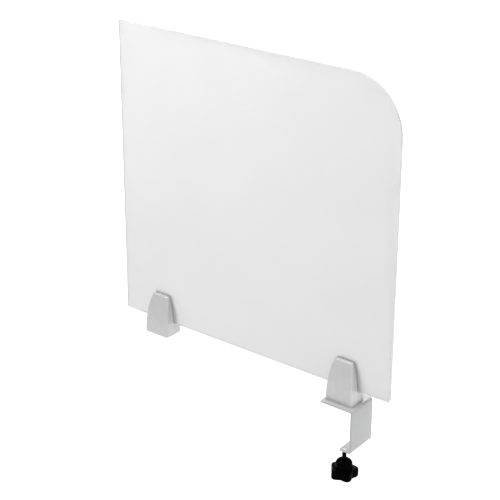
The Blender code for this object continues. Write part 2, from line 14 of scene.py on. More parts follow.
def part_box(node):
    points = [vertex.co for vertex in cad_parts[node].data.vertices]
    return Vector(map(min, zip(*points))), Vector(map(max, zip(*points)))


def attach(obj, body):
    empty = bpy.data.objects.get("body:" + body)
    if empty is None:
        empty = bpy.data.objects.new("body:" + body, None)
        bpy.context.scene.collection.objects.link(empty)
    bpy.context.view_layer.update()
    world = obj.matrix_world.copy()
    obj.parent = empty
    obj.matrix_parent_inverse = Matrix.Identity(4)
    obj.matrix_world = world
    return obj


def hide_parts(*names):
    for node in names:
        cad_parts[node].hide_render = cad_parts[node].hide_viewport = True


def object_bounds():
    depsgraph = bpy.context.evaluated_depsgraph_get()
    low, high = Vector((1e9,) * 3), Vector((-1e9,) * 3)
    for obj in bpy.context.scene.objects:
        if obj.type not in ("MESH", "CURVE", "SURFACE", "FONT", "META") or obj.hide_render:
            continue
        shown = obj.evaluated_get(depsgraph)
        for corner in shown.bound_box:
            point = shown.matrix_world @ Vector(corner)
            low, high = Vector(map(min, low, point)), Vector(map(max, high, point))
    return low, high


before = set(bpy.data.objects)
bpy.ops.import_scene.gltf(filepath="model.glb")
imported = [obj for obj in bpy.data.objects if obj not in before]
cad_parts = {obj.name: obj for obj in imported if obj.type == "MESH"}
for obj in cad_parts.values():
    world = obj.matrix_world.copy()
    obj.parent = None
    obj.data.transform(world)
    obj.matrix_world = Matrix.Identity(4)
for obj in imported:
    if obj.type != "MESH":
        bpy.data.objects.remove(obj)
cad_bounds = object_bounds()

FIXED = "panel_and_clips"
TIP = "thrust_tip"
TURNING = "knob_and_screw"
CLIPS = ("clamp_clip_", "foot_clip_")
HANDS = ("left", "right")
FRONT = -1              # the side of the sheet that a clip's shell is on, as a sign along Y
BACK = 1

GAP = 0.0003            # clearance between pieces that don't press on each other
PRESS_FIT = 0.00005     # clearance, and chamfer, where two pieces look joined
PAST = 0.002            # how far a cutter runs past the piece that it cuts
EDGE_BREAK = 0.0004     # chamfer on turned edges
SHARP_ANGLE = math.radians(32.0)
ROUND_STEPS = 48
HEX = 6                 # sides of a hexagon

# Sheet
SHEET_BIG_RADIUS = 0.105        # the upper corner above the clamp
SHEET_SMALL_RADIUS = 0.005      # the lower corner below it
SHEET_CORNER_RADIUS = 0.0008    # the two corners at the other end
SHEET_ARC_STEPS = 48
SHEET_POLISH = 0.0004           # rounds the rim's edges

# Clips
CLIP_SEAM_TAPER = 0.0094    # how far each side draws in towards the top, at the sheet
CLIP_FACE_INSET = 0.0008    # how much narrower the outer face is than the seam, on each side
CLIP_FACE_TAPER = 0.0078    # how far each side draws in towards the top, at the outer face
CLIP_FRONT_LEAN = 0.0130    # how far the front face leans back towards the top
CLIP_BACK_LEAN = 0.0095
CLIP_TAPER_POWER = 2.2      # above 1, most of the taper is near the top
CLIP_CORNER = 0.0045        # rounds the upright corners of the outer face
CLIP_TOP_CORNER = 0.0040    # rounds the top corners, seen from the front
CLIP_TOP_EDGE = 0.0020      # rounds the edge between the top and the front or back face
CLIP_SEAM_FILLET = 0.0004
CLIP_BASE_CHAMFER = 0.0002
CLIP_SKIRT = 0.0002         # how far a shell reaches into the gap below it or beside the sheet
CLIP_LEVELS = 30
CLIP_CORNER_STEPS = 8
CLIP_TOP_STEPS = 12
CORE_SHELF = 0.022          # height of the core's wide base
CHEEK_HALF_WIDTH = 0.020    # the core's two cheeks, which hold the sheet between them
CHEEK = 0.0035              # thickness of a cheek

# Bracket
STEEL = 0.0035
BEND_RADIUS = 0.0055
BEND_STEPS = 14
JAW_LEFT = 0.0095           # the free end of the jaw, along X
STRIP_FILLET = 0.0006       # rounds the strip's long edges
STRIP_CORNER = 0.0016       # rounds its corners in plan
STRIP_END_STEPS = 6
FILLET_STEPS = 3

# Screws: the height of each head, and the radius of each shank
SHELL_BOLT_HEAD = 0.0035
SHELL_BOLT_RADIUS = 0.002
BASE_BOLT_HEAD = 0.0028
BASE_BOLT_RADIUS = 0.003
HEX_KEY_RADIUS = 0.0017
HEX_KEY_DEPTH = 0.0018

# Clamp screw and knob
SCREW_RADIUS = 0.004
TIP_STEM_RADIUS = 0.0015
TIP_HEIGHT = 0.0016
PITCH = 0.00125
THREAD_DEPTH = 0.00077
THREAD_CREST = 0.00018      # width of the thread's flat crest
THREAD_ROOT = 0.00030       # width of the flat between two turns
THREAD_STEPS = 36           # steps in one turn
SCREW_HEAD_FLATS = 0.013    # across the hexagon's flats
SCREW_HEAD_TOP = -0.126     # a height, as is the star's top
STAR_TOP = -0.1200
HUB_RADIUS = 0.0157
HUB_DOME = 0.011            # height of the dome
HUB_FILLET = 0.0008
STAR_RADIUS = 0.0268        # at the middle of a lobe
STAR_VALLEY = 0.0207        # between two lobes
STAR_LOBES = 5
STAR_ANGLE = math.radians(34.0)
STAR_EDGE = 0.0022          # rounds the star's upper and lower edges
STAR_EDGE_STEPS = 7
STAR_STEPS = 180
DOME_STEPS = 16
CAP_GROOVE_SHARE = 0.55     # radius of the cap's ring groove, as a share of the cap's radius

# Rubber pads
DESK_PAD_CORNER = 0.003
FOOT_CORNER = 0.004
GROOVE = 0.0003             # depth of a groove, and half its width
GROOVE_SPACING = 0.003

# Materials: the part of a noise's range over which colour or roughness changes
COLOUR_FROM = 0.35
COLOUR_TO = 0.65
ROUGHNESS_FROM = 0.3
ROUGHNESS_TO = 0.7

# Camera: its place, and the directions of its own axes
CAMERA_LENS = 99.10         # millimetres, as is the sensor's width
CAMERA_SENSOR = 36.0
CAMERA_SHIFT = -0.1
CAMERA_REACH = 100.0        # how far the camera sees, so that the floor has no visible end
CAMERA_PLACE = (1.2003, -1.8412, 1.2806)
CAMERA_RIGHT = (0.79025, 0.61277, 0.00291)
CAMERA_UP = (-0.23171, 0.29441, 0.92716)
CAMERA_BACK = (0.56728, -0.73337, 0.37465)

# Stage: lamps are (name, place, aim, size in metres, watts, spread in degrees)
FLOOR_DROP = 0.30           # from the object's lowest point to the floor
FLOOR_SIZE = 60.0
SURROUNDINGS = 0.575        # strength of the even white surroundings
LAMPS = (
    ("far_floor_lamp", (-2.2, 4.2, 2.2), (-2.2, 4.2, -0.4), 2.4, 225.0, 150.0),
    ("overhead_lamp", (-0.9, -0.5, 3.0), (0.0, 0.0, 0.1), 2.2, 82.0, 180.0),
    ("right_lamp", (2.8, -0.35, 2.2), (0.0, 0.0, 0.1), 2.0, 54.0, 180.0),
)


# Meshes

def new_piece(name, bm, *materials):
    """A linked object from a bmesh, smooth except across its sharp edges."""
    bmesh.ops.recalc_face_normals(bm, faces=bm.faces)
    mesh = bpy.data.meshes.new(name)
    bm.to_mesh(mesh)
    bm.free()
    mesh.shade_smooth()
    mesh.set_sharp_from_angle(angle=SHARP_ANGLE)
    for material in materials:
        mesh.materials.append(material)
    obj = bpy.data.objects.new(name, mesh)
    bpy.context.scene.collection.objects.link(obj)
    return obj


def add_loft(bm, rings):
    """A closed body through rings of equal point counts, capped at both ends. Returns side faces."""
    rows = [[bm.verts.new(point) for point in ring] for ring in rings]
    count = len(rows[0])
    sides = []
    for lower, upper in zip(rows, rows[1:]):
        for i in range(count):
            j = (i + 1) % count
            sides.append(bm.faces.new((lower[i], lower[j], upper[j], upper[i])))
    bm.faces.new(rows[0])
    bm.faces.new(rows[-1])
    return sides


def loft(name, rings, *materials):
    """A piece that is one loft."""
    bm = bmesh.new()
    add_loft(bm, rings)
    return new_piece(name, bm, *materials)


def circle(radius, height, steps=ROUND_STEPS):
    """Points round the Z axis at a height."""
    angles = [2 * math.pi * i / steps for i in range(steps)]
    return [(radius * math.cos(angle), radius * math.sin(angle), height) for angle in angles]


def turned(name, profile, *materials):
    """A solid turned about Z from (radius, height) pairs. No radius is zero: the ends are capped."""
    return loft(name, [circle(radius, height) for radius, height in profile], *materials)


def ring_piece(name, profile, *materials):
    """A turned ring: the profile is a closed loop of (radius, height) pairs off the axis."""
    bm = bmesh.new()
    rows = [[bm.verts.new(point) for point in circle(*pair)] for pair in profile]
    for lower, upper in zip(rows, rows[1:] + rows[:1]):
        for i in range(ROUND_STEPS):
            j = (i + 1) % ROUND_STEPS
            bm.faces.new((lower[i], lower[j], upper[j], upper[i]))
    return new_piece(name, bm, *materials)


def box_piece(name, low, high):
    """A box between two corners, without a material, as a cutter."""
    bm = bmesh.new()
    bmesh.ops.create_cube(bm, size=1.0)
    middle = (Vector(low) + Vector(high)) / 2
    size = Vector(high) - Vector(low)
    bmesh.ops.transform(bm, matrix=Matrix.LocRotScale(middle, None, size), verts=bm.verts)
    return new_piece(name, bm)


def put(obj, matrix):
    """Move a mesh's own vertices, so that the object stays at the origin."""
    obj.data.transform(matrix)
    return obj


def along_y(x, y, z):
    """The matrix that lays a piece made about Z along +Y, starting from a point."""
    return Matrix.Translation((x, y, z)) @ Matrix.Rotation(-math.pi / 2, 4, "X")


def cut(obj, cutters):
    """Take the cutters out of a piece, apply the result, and remove the cutters."""
    for cutter in cutters:
        boolean = obj.modifiers.new("cut", "BOOLEAN")
        boolean.object = cutter
        boolean.solver = "EXACT"
    bpy.context.view_layer.update()
    evaluated = obj.evaluated_get(bpy.context.evaluated_depsgraph_get())
    mesh = bpy.data.meshes.new_from_object(evaluated)
    obj.modifiers.clear()
    obj.data = mesh
    for cutter in cutters:
        bpy.data.objects.remove(cutter)
    mesh.shade_smooth()
    mesh.set_sharp_from_angle(angle=SHARP_ANGLE)


def rounded_outline(corners, radii, steps):
    """A closed outline, anticlockwise, with each corner rounded by its own radius."""
    outline = []
    count = len(corners)
    for i, corner in enumerate(corners):
        here = Vector(corner)
        before = (Vector(corners[i - 1]) - here).normalized()
        after = (Vector(corners[(i + 1) % count]) - here).normalized()
        half = before.angle(after) / 2
        centre = here + (before + after).normalized() * radii[i] / math.sin(half)
        start = here + before * radii[i] / math.tan(half) - centre
        first = math.atan2(start.y, start.x)
        sweep = math.pi - 2 * half
        for k in range(steps + 1):
            angle = first + sweep * k / steps
            outline.append((centre.x + radii[i] * math.cos(angle),
                            centre.y + radii[i] * math.sin(angle)))
    return outline


def quarter(radius, steps):
    """Pairs (inset, rise) that round an edge, from the full outline to the flat face."""
    angles = [math.pi / 2 * k / steps for k in range(steps + 1)]
    return [(radius * (1 - math.cos(angle)), radius * math.sin(angle)) for angle in angles]


def upright_at(obj, node):
    """Move a piece made about Z onto the upright axis through a CAD node's middle."""
    low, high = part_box(node)
    middle = (low + high) / 2
    return put(obj, Matrix.Translation((middle.x, middle.y, 0.0)))


def stand_in(obj, body, slot, *nodes):
    """Let a rebuilt piece ride on a body in place of its CAD nodes."""
    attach(obj, body)
    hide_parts(*nodes)


# Materials

def shader_of(name, colour, roughness, metallic=0.0):
    """A new material with its tree and its Principled shader."""
    material = bpy.data.materials.new(name)
    material.use_nodes = True
    tree = material.node_tree
    shader = tree.nodes["Principled BSDF"]
    shader.inputs["Base Color"].default_value = (*colour, 1.0)
    shader.inputs["Roughness"].default_value = roughness
    shader.inputs["Metallic"].default_value = metallic
    return material, tree, shader


def noise(tree, scale, detail=3.0, stretch=(1.0, 1.0, 1.0)):
    """Noise in the object's own metres. The scale is in grains a metre."""
    place = tree.nodes.new("ShaderNodeTexCoord")
    mapping = tree.nodes.new("ShaderNodeMapping")
    mapping.inputs["Scale"].default_value = stretch
    texture = tree.nodes.new("ShaderNodeTexNoise")
    texture.inputs["Scale"].default_value = scale
    texture.inputs["Detail"].default_value = detail
    tree.links.new(place.outputs["Object"], mapping.inputs["Vector"])
    tree.links.new(mapping.outputs["Vector"], texture.inputs["Vector"])
    return texture.outputs["Fac"]


def vary_colour(tree, shader, fac, dark, light):
    """Let the base colour drift between two colours with a noise."""
    ramp = tree.nodes.new("ShaderNodeValToRGB")
    ramp.color_ramp.elements[0].position = COLOUR_FROM
    ramp.color_ramp.elements[0].color = (*dark, 1.0)
    ramp.color_ramp.elements[1].position = COLOUR_TO
    ramp.color_ramp.elements[1].color = (*light, 1.0)
    tree.links.new(fac, ramp.inputs["Fac"])
    tree.links.new(ramp.outputs["Color"], shader.inputs["Base Color"])


def vary_roughness(tree, shader, fac, low, high):
    """Let the roughness drift between two values with a noise."""
    spread = tree.nodes.new("ShaderNodeMapRange")
    spread.inputs["From Min"].default_value = ROUGHNESS_FROM
    spread.inputs["From Max"].default_value = ROUGHNESS_TO
    spread.inputs["To Min"].default_value = low
    spread.inputs["To Max"].default_value = high
    tree.links.new(fac, spread.inputs["Value"])
    tree.links.new(spread.outputs["Result"], shader.inputs["Roughness"])


def add_bump(tree, shader, fac, height, strength):
    """Relief from a noise, with its height in metres."""
    bump = tree.nodes.new("ShaderNodeBump")
    bump.inputs["Strength"].default_value = strength
    bump.inputs["Distance"].default_value = height
    tree.links.new(fac, bump.inputs["Height"])
    tree.links.new(bump.outputs["Normal"], shader.inputs["Normal"])


def tone(value, warm=0.0):
    """A grey with a slight cast: warm above zero, cool below."""
    return (value * (1 + warm), value, value * (1 - warm))


def frosted_acrylic():
    """Satin-etched acrylic: it scatters what is behind it, and handling leaves faint cloudy marks."""
    material, tree, shader = shader_of("frosted_acrylic", tone(0.70), roughness=0.37)
    shader.inputs["IOR"].default_value = 1.49
    shader.inputs["Transmission Weight"].default_value = 0.6
    vary_colour(tree, shader, noise(tree, 7.0), tone(0.692), tone(0.706))
    vary_roughness(tree, shader, noise(tree, 28.0, detail=5.0), 0.33, 0.41)
    add_bump(tree, shader, noise(tree, 3500.0, detail=2.0), height=0.00001, strength=0.5)
    return material


def polished_edge():
    """The sheet's sawn and polished rim, with faint tool marks across the thickness."""
    material, tree, shader = shader_of("polished_acrylic_edge", tone(0.73, -0.01), roughness=0.2)
    shader.inputs["IOR"].default_value = 1.49
    shader.inputs["Transmission Weight"].default_value = 0.35
    marks = noise(tree, 900.0, detail=2.0, stretch=(1.0, 0.05, 1.0))
    vary_colour(tree, shader, noise(tree, 40.0), tone(0.70, -0.01), tone(0.76, -0.01))
    vary_roughness(tree, shader, marks, 0.16, 0.26)
    add_bump(tree, shader, marks, height=0.00001, strength=0.15)
    return material


def shell_plastic():
    """Light grey moulded shell with a satin, slightly pearly skin over a fine spark-eroded grain."""
    material, tree, shader = shader_of("light_grey_moulded_shell", tone(0.50),
                                       roughness=0.34, metallic=0.22)
    vary_colour(tree, shader, noise(tree, 90.0, detail=4.0), tone(0.488, -0.002), tone(0.512, -0.002))
    grain = noise(tree, 2600.0, detail=2.0)
    vary_roughness(tree, shader, grain, 0.30, 0.38)
    add_bump(tree, shader, grain, height=0.00002, strength=0.6)
    return material


def powder_coat():
    """Light grey powder coat with its orange-peel skin and a few darker flecks."""
    material, tree, shader = shader_of("grey_powder_coat", tone(0.38), roughness=0.38)
    vary_colour(tree, shader, noise(tree, 400.0, detail=4.0), tone(0.370, -0.003), tone(0.390, -0.003))
    peel = noise(tree, 1100.0, detail=2.0)
    vary_roughness(tree, shader, peel, 0.33, 0.43)
    add_bump(tree, shader, peel, height=0.00003, strength=0.6)
    return material


def knob_plastic():
    """Black glass-filled nylon with a fine matt skin."""
    material, tree, shader = shader_of("black_moulded_knob", tone(0.001), roughness=0.3)
    shader.inputs["Specular IOR Level"].default_value = 0.008
    vary_colour(tree, shader, noise(tree, 160.0, detail=4.0), tone(0.0005), tone(0.0012))
    grain = noise(tree, 2200.0, detail=3.0)
    vary_roughness(tree, shader, grain, 0.24, 0.36)
    add_bump(tree, shader, grain, height=0.00003, strength=0.7)
    return material


def black_oxide():
    """Oiled black steel, almost without shine."""
    material, tree, shader = shader_of("black_oxide_steel", tone(0.003), roughness=0.38)
    shader.inputs["Specular IOR Level"].default_value = 0.05
    vary_colour(tree, shader, noise(tree, 700.0, detail=4.0), tone(0.002), tone(0.005, 0.03))
    vary_roughness(tree, shader, noise(tree, 500.0), 0.3, 0.48)
    add_bump(tree, shader, noise(tree, 3000.0, detail=2.0), height=0.00001, strength=0.5)
    return material


def zinc_plate():
    """Bright zinc with the faint streaks that turning leaves under it."""
    material, tree, shader = shader_of("bright_zinc_plate", tone(0.62, -0.02),
                                       roughness=0.28, metallic=1.0)
    vary_colour(tree, shader, noise(tree, 500.0, detail=4.0), tone(0.56, -0.02), tone(0.68, -0.015))
    streaks = noise(tree, 1500.0, detail=2.0, stretch=(1.0, 1.0, 0.15))
    vary_roughness(tree, shader, streaks, 0.22, 0.36)
    add_bump(tree, shader, streaks, height=0.00001, strength=0.4)
    return material


def turned_brass():
    """Brass with the fine rings of turning."""
    material, tree, shader = shader_of("turned_brass", (0.72, 0.55, 0.25),
                                       roughness=0.3, metallic=1.0)
    vary_colour(tree, shader, noise(tree, 600.0), (0.66, 0.49, 0.21), (0.76, 0.59, 0.29))
    streaks = noise(tree, 1800.0, detail=2.0, stretch=(1.0, 0.15, 1.0))
    vary_roughness(tree, shader, streaks, 0.22, 0.38)
    add_bump(tree, shader, streaks, height=0.00001, strength=0.4)
    return material


def cast_aluminium():
    """Die-cast metal, dull and slightly pitted."""
    material, tree, shader = shader_of("die_cast_aluminium", tone(0.52, -0.02),
                                       roughness=0.5, metallic=1.0)
    vary_colour(tree, shader, noise(tree, 300.0, detail=5.0), tone(0.46, -0.015), tone(0.58, -0.015))
    pits = noise(tree, 900.0, detail=4.0)
    vary_roughness(tree, shader, pits, 0.42, 0.62)
    add_bump(tree, shader, pits, height=0.00008, strength=0.7)
    return material


def soft_rubber():
    """Dull grey rubber with an uneven skin."""
    material, tree, shader = shader_of("soft_grey_rubber", tone(0.30), roughness=0.8)
    vary_colour(tree, shader, noise(tree, 250.0, detail=4.0), tone(0.26, 0.01), tone(0.33, 0.01))
    skin = noise(tree, 1600.0, detail=3.0)
    vary_roughness(tree, shader, skin, 0.72, 0.9)
    add_bump(tree, shader, skin, height=0.00004, strength=0.7)
    return material


def natural_nylon():
    """Uncoloured nylon, waxy and off-white."""
    material, tree, shader = shader_of("natural_nylon", tone(0.6, 0.02), roughness=0.5)
    vary_colour(tree, shader, noise(tree, 500.0, detail=3.0), tone(0.57, 0.02), tone(0.63, 0.02))
    vary_roughness(tree, shader, noise(tree, 1500.0), 0.42, 0.58)
    add_bump(tree, shader, noise(tree, 2500.0, detail=2.0), height=0.00001, strength=0.6)
    return material


FROSTED = frosted_acrylic()
EDGE = polished_edge()
SHELL = shell_plastic()
COAT = powder_coat()
KNOB = knob_plastic()
BLACK = black_oxide()
ZINC = zinc_plate()
BRASS = turned_brass()
CAST = cast_aluminium()
RUBBER = soft_rubber()
NYLON = natural_nylon()


# Sheet

def sheet_outline(inset):
    """The sheet's outline in X and Z, drawn in from the full outline by an inset."""
    low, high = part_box("panel_sheet")
    left, right = low.x + inset, high.x - inset
    bottom, top = low.z + inset, high.z - inset
    corners = ((left, bottom), (right, bottom), (right, top), (left, top))
    radii = [SHEET_CORNER_RADIUS, SHEET_SMALL_RADIUS, SHEET_BIG_RADIUS, SHEET_CORNER_RADIUS]
    return rounded_outline(corners, [radius - inset for radius in radii], SHEET_ARC_STEPS)


def make_sheet():
    """The frosted sheet. Its rim is polished and its arrises are rounded."""
    low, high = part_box("panel_sheet")
    turns = quarter(SHEET_POLISH, FILLET_STEPS)
    levels = [(inset, low.y + SHEET_POLISH - rise) for inset, rise in reversed(turns)]
    levels += [(inset, high.y - SHEET_POLISH + rise) for inset, rise in turns]
    rings = [[(x, y, z) for x, z in sheet_outline(inset)] for inset, y in levels]
    bm = bmesh.new()
    slots = (FROSTED, EDGE)
    for face in add_loft(bm, rings):
        face.material_index = slots.index(EDGE)
    sheet = new_piece("frosted_sheet", bm, *slots)
    stand_in(sheet, FIXED, "sheet", "panel_sheet")


# Clips

def rounding(radius, below_top):
    """How far a rounded edge has drawn in, at a distance below the top."""
    rise = max(0.0, radius - below_top)
    return radius - math.sqrt(radius ** 2 - rise ** 2)


def shell_rings(node, side):
    """The outer form of one clip shell, from its base chamfer to its rounded top."""
    low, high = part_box(node)
    centre = (low.x + high.x) / 2
    half_seam = (high.x - low.x) / 2
    base, top = low.z - CLIP_SKIRT, high.z
    shoulder = top - CLIP_TOP_CORNER
    if side == FRONT:
        full_depth, parting, lean = -low.y, -high.y - CLIP_SKIRT, CLIP_FRONT_LEAN
    else:
        full_depth, parting, lean = high.y, low.y, CLIP_BACK_LEAN

    def ring(z, chamfer=0.0):
        taper = min(1.0, (z - base) / (shoulder - base)) ** CLIP_TAPER_POWER
        side_inset = rounding(CLIP_TOP_CORNER, top - z) + chamfer
        face_inset = rounding(CLIP_TOP_EDGE, top - z) + chamfer
        seam = half_seam - CLIP_SEAM_TAPER * taper - side_inset
        face = half_seam - CLIP_FACE_INSET - CLIP_FACE_TAPER * taper - side_inset
        depth = full_depth - lean * taper - face_inset
        corners = ((seam, parting), (face, depth), (-face, depth), (-seam, parting))
        radii = (CLIP_SEAM_FILLET, CLIP_CORNER, CLIP_CORNER, CLIP_SEAM_FILLET)
        outline = rounded_outline(corners, radii, CLIP_CORNER_STEPS)
        return [(centre + x, side * y, z) for x, y in outline]

    rings = [ring(base, CLIP_BASE_CHAMFER), ring(base + CLIP_BASE_CHAMFER)]
    for i in range(1, CLIP_LEVELS + 1):
        rings.append(ring(base + (shoulder - base) * i / CLIP_LEVELS))
    for inset, rise in quarter(CLIP_TOP_CORNER, CLIP_TOP_STEPS)[1:]:
        rings.append(ring(shoulder + rise))
    return rings


def y_bar(middle, radius, start, end):
    """A round cutter along Y, through a point, from one Y to another."""
    bar = turned("bar", [(radius, 0.0), (radius, end - start)])
    return put(bar, along_y(middle.x, start, middle.z))


def pocket_cutters(prefix, side):
    """The hollow that the core fills: wide around its base, narrow around its cheeks."""
    core_low, core_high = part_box(prefix + "core")
    centre = (core_low.x + core_high.x) / 2
    sheet_low, sheet_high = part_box("panel_sheet")
    if side == FRONT:
        cheek_face = -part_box(prefix + "front_liner")[0].y + GAP + CHEEK + GAP
        low_face = -core_low.y + GAP
    else:
        cheek_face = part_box(prefix + "pressure_plate")[1].y + GAP + CHEEK + GAP
        low_face = core_high.y + GAP
    inner = -2 * sheet_high.y       # on the sheet's other side, so that the pocket is open there
    wide = (core_high.x - core_low.x) / 2 + GAP
    narrow = CHEEK_HALF_WIDTH + GAP
    spans = (
        (wide, low_face, core_low.z - PAST, sheet_low.z),
        (narrow, cheek_face, core_low.z + CORE_SHELF, core_high.z + GAP),
    )
    cutters = []
    for i, (half, face, bottom, top) in enumerate(spans):
        y_low, y_high = sorted((side * inner, side * face))
        cutters.append(box_piece(f"pocket_{i}", (centre - half, y_low, bottom),
                                 (centre + half, y_high, top)))
    return cutters


def make_front_shell(prefix):
    """The front shell, hollowed for the core, with two holes for the threaded inserts."""
    node = prefix + "front_shell"
    shell = loft(node + "_moulded", shell_rings(node, FRONT), SHELL)
    cutters = pocket_cutters(prefix, FRONT)
    for hand in HANDS:
        low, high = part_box(f"{prefix}shell_insert_{hand}")
        middle = (low + high) / 2
        radius = (high.x - low.x) / 2 + GAP
        cutters.append(y_bar(middle, radius, low.y - GAP, high.y + PAST))
    cut(shell, cutters)
    stand_in(shell, FIXED, "shell", node)


def make_back_shell(prefix):
    """The back shell, with the sheet's slot, two counterbored bolt holes and two key holes."""
    node = prefix + "back_shell"
    shell = loft(node + "_moulded", shell_rings(node, BACK), SHELL)
    low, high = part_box(node)
    sheet_low, sheet_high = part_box("panel_sheet")
    cutters = pocket_cutters(prefix, BACK)
    cutters.append(box_piece("slot", (low.x - PAST, low.y - PAST, sheet_low.z - GAP),
                             (high.x + PAST, sheet_high.y + GAP, high.z + PAST)))
    outside = high.y + PAST
    for hand in HANDS:
        bolt_low, bolt_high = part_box(f"{prefix}shell_bolt_{hand}")
        bolt_middle = (bolt_low + bolt_high) / 2
        head = (bolt_high.x - bolt_low.x) / 2 + GAP
        seat = bolt_high.y - SHELL_BOLT_HEAD - GAP
        cutters.append(y_bar(bolt_middle, head, seat, outside))
        cutters.append(y_bar(bolt_middle, SHELL_BOLT_RADIUS + GAP, 0.0, outside))
        grub_low, grub_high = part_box(f"{prefix}grub_screw_{hand}")
        grub = (grub_high.x - grub_low.x) / 2 + GAP
        cutters.append(y_bar((grub_low + grub_high) / 2, grub, grub_low.y, outside))
    cut(shell, cutters)
    stand_in(shell, FIXED, "shell", node)


# Fasteners

def hex_socket(top):
    """The cutter for a key socket, from above a face down to its depth."""
    bottom = top - HEX_KEY_DEPTH
    return loft("socket", [circle(HEX_KEY_RADIUS, bottom, HEX), circle(HEX_KEY_RADIUS, top + PAST, HEX)])


def make_shell_bolt(node):
    """A cap screw with a broken edge on its head and a hexagon socket."""
    low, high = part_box(node)
    middle = (low + high) / 2
    length = high.y - low.y
    head = (high.x - low.x) / 2
    under_head = length - SHELL_BOLT_HEAD
    profile = [(SHELL_BOLT_RADIUS - EDGE_BREAK, 0.0), (SHELL_BOLT_RADIUS, EDGE_BREAK),
               (SHELL_BOLT_RADIUS, under_head), (head, under_head),
               (head, length - EDGE_BREAK), (head - EDGE_BREAK, length)]
    bolt = turned(node + "_plated", profile, ZINC)
    cut(bolt, [hex_socket(length)])
    put(bolt, along_y(middle.x, low.y, middle.z))
    stand_in(bolt, FIXED, "zinc", node)


def make_grub_screw(node):
    """A headless screw with chamfered ends and a hexagon socket."""
    low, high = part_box(node)
    middle = (low + high) / 2
    length = high.y - low.y
    radius = (high.x - low.x) / 2
    profile = [(radius - EDGE_BREAK, 0.0), (radius, EDGE_BREAK),
               (radius, length - EDGE_BREAK), (radius - EDGE_BREAK, length)]
    grub = turned(node + "_oxide", profile, BLACK)
    cut(grub, [hex_socket(length)])
    put(grub, along_y(middle.x, low.y, middle.z))
    stand_in(grub, FIXED, "black_steel", node)


def make_base_bolt(node):
    """A countersunk bolt, head down."""
    low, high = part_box(node)
    middle = (low + high) / 2
    length = high.z - low.z
    head = (high.x - low.x) / 2
    rim = EDGE_BREAK / 2
    profile = [(BASE_BOLT_RADIUS - EDGE_BREAK, length), (BASE_BOLT_RADIUS, length - EDGE_BREAK),
               (BASE_BOLT_RADIUS, BASE_BOLT_HEAD), (head, rim), (head - rim, 0.0)]
    bolt = turned(node + "_plated", profile, ZINC)
    socket = hex_socket(0.0)
    put(socket, Matrix.Rotation(math.pi, 4, "X"))
    cut(bolt, [socket])
    put(bolt, Matrix.Translation((middle.x, middle.y, low.z)))
    stand_in(bolt, FIXED, "zinc", node)


def countersink(node, bottom, top):
    """The cutter for a base bolt's hole, through a piece between two heights."""
    low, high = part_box(node)
    head = (high.x - low.x) / 2 + GAP
    shank = BASE_BOLT_RADIUS + GAP
    profile = [(head, bottom - PAST), (head, low.z), (shank, low.z + BASE_BOLT_HEAD), (shank, top + PAST)]
    return upright_at(turned("countersink", profile), node)


# Clamp

def bracket_path():
    """Points and outward normals along the middle of the bent strip, in X and Z."""
    low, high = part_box("clamp_bracket")
    half = STEEL / 2
    turn = BEND_RADIUS - half
    top, bottom, right = high.z - half, low.z + half, high.x - half
    path = [((low.x, top), (0.0, 1.0))]
    bends = (((right - turn, top - turn), 90.0), ((right - turn, bottom + turn), 0.0))
    for (centre_x, centre_z), first in bends:
        for i in range(BEND_STEPS + 1):
            angle = math.radians(first - 90.0 * i / BEND_STEPS)
            normal = (math.cos(angle), math.sin(angle))
            path.append(((centre_x + turn * normal[0], centre_z + turn * normal[1]), normal))
    path.append(((JAW_LEFT, bottom), (0.0, -1.0)))
    return path


def strip_ring(point, normal, half_width, half_steel):
    """A rounded rectangle across the strip."""
    corners = ((half_width, -half_steel), (half_width, half_steel),
               (-half_width, half_steel), (-half_width, -half_steel))
    outline = rounded_outline(corners, (STRIP_FILLET,) * len(corners), FILLET_STEPS)
    return [(point[0] + v * normal[0], u, point[1] + v * normal[1]) for u, v in outline]


def strip_end(point, normal, half_width):
    """The rings that round one end of the strip, in plan and across its thickness.

    Both of its ends point to -X, so each ring lies further along +X than the one before it.
    """
    rings = []
    for k in range(STRIP_END_STEPS + 1):
        depth = STRIP_CORNER * (1 - math.cos(math.pi / 2 * k / STRIP_END_STEPS))
        side = STRIP_CORNER - math.sqrt(STRIP_CORNER ** 2 - (STRIP_CORNER - depth) ** 2)
        edge = max(0.0, STRIP_FILLET - depth)
        thin = STRIP_FILLET - math.sqrt(STRIP_FILLET ** 2 - edge ** 2)
        place = (point[0] + depth, point[1])
        rings.append(strip_ring(place, normal, half_width - side, STEEL / 2 - thin))
    return rings


def make_bracket():
    """The bent steel bracket, with the bush's hole in its jaw and two countersunk bolt holes."""
    low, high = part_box("clamp_bracket")
    half_width = (high.y - low.y) / 2
    path = bracket_path()
    rings = strip_end(*path[0], half_width)
    rings += [strip_ring(point, normal, half_width, STEEL / 2) for point, normal in path[1:-1]]
    rings += reversed(strip_end(*path[-1], half_width))
    bracket = loft("bent_bracket", rings, COAT)
    bush_low, bush_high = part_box("jaw_bush")
    radius = (bush_high.x - bush_low.x) / 2 + PRESS_FIT
    hole = turned("bush_hole", [(radius, low.z - PAST), (radius, low.z + STEEL + PAST)])
    cutters = [upright_at(hole, "jaw_bush")]
    cutters += [countersink(f"bracket_bolt_{hand}", high.z - STEEL, high.z) for hand in HANDS]
    cut(bracket, cutters)
    stand_in(bracket, FIXED, "bracket", "clamp_bracket")


